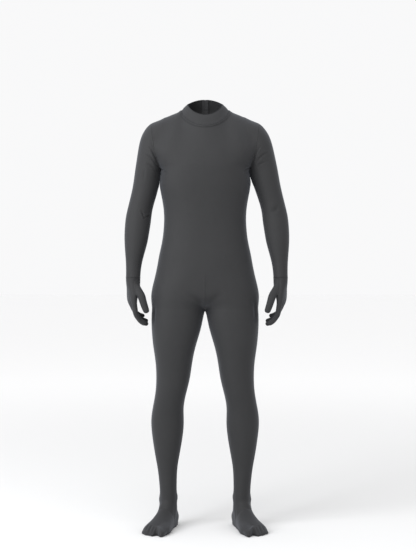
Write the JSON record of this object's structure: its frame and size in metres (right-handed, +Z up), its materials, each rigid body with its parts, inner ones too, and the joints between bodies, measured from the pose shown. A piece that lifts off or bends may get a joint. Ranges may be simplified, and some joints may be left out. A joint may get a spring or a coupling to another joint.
{
  "type": "full body spandex suit",
  "caption": "Close one-piece stretch-knit body suit in its worn, hollow form, with a mock collar, finger gloves, closed feet and a zip at the back.",
  "frame": {"origin": "on the centre line at the height of the shoulders, 1500 mm above the soles, where the wearer holds the suit up", "axes": "+Z up along the body, +Y towards the back, +X towards the wearer's left"},
  "size_m": [0.6066, 0.2874, 1.591],
  "materials": {
    "knit": "matt stretch knit",
    "tape": "woven tape",
    "coil": "satin",
    "metal": "dark satin"
  },
  "bodies": {
    "suit": {"front": "knit", "back_left": "knit", "back_right": "knit", "collar": "knit", "sleeve_left": "knit", "sleeve_right": "knit", "glove_back_left": "knit", "glove_palm_left": "knit", "glove_thumb_left": "knit", "glove_back_right": "knit", "glove_palm_right": "knit", "glove_thumb_right": "knit", "sole_left": "knit", "sole_right": "knit", "zip_tape": "tape", "zip_chain": "coil", "zip_slider": "metal"},
    "zip_pull": {"zip_pull": "metal"}
  },
  "joints": [
    {"name": "pull_swing", "type": "hinge", "parent": "suit", "child": "zip_pull", "pos_m": [0, 0.07332, 0.08872], "axis": [1, 0, 0], "range_deg": [0, 150]}
  ]
}
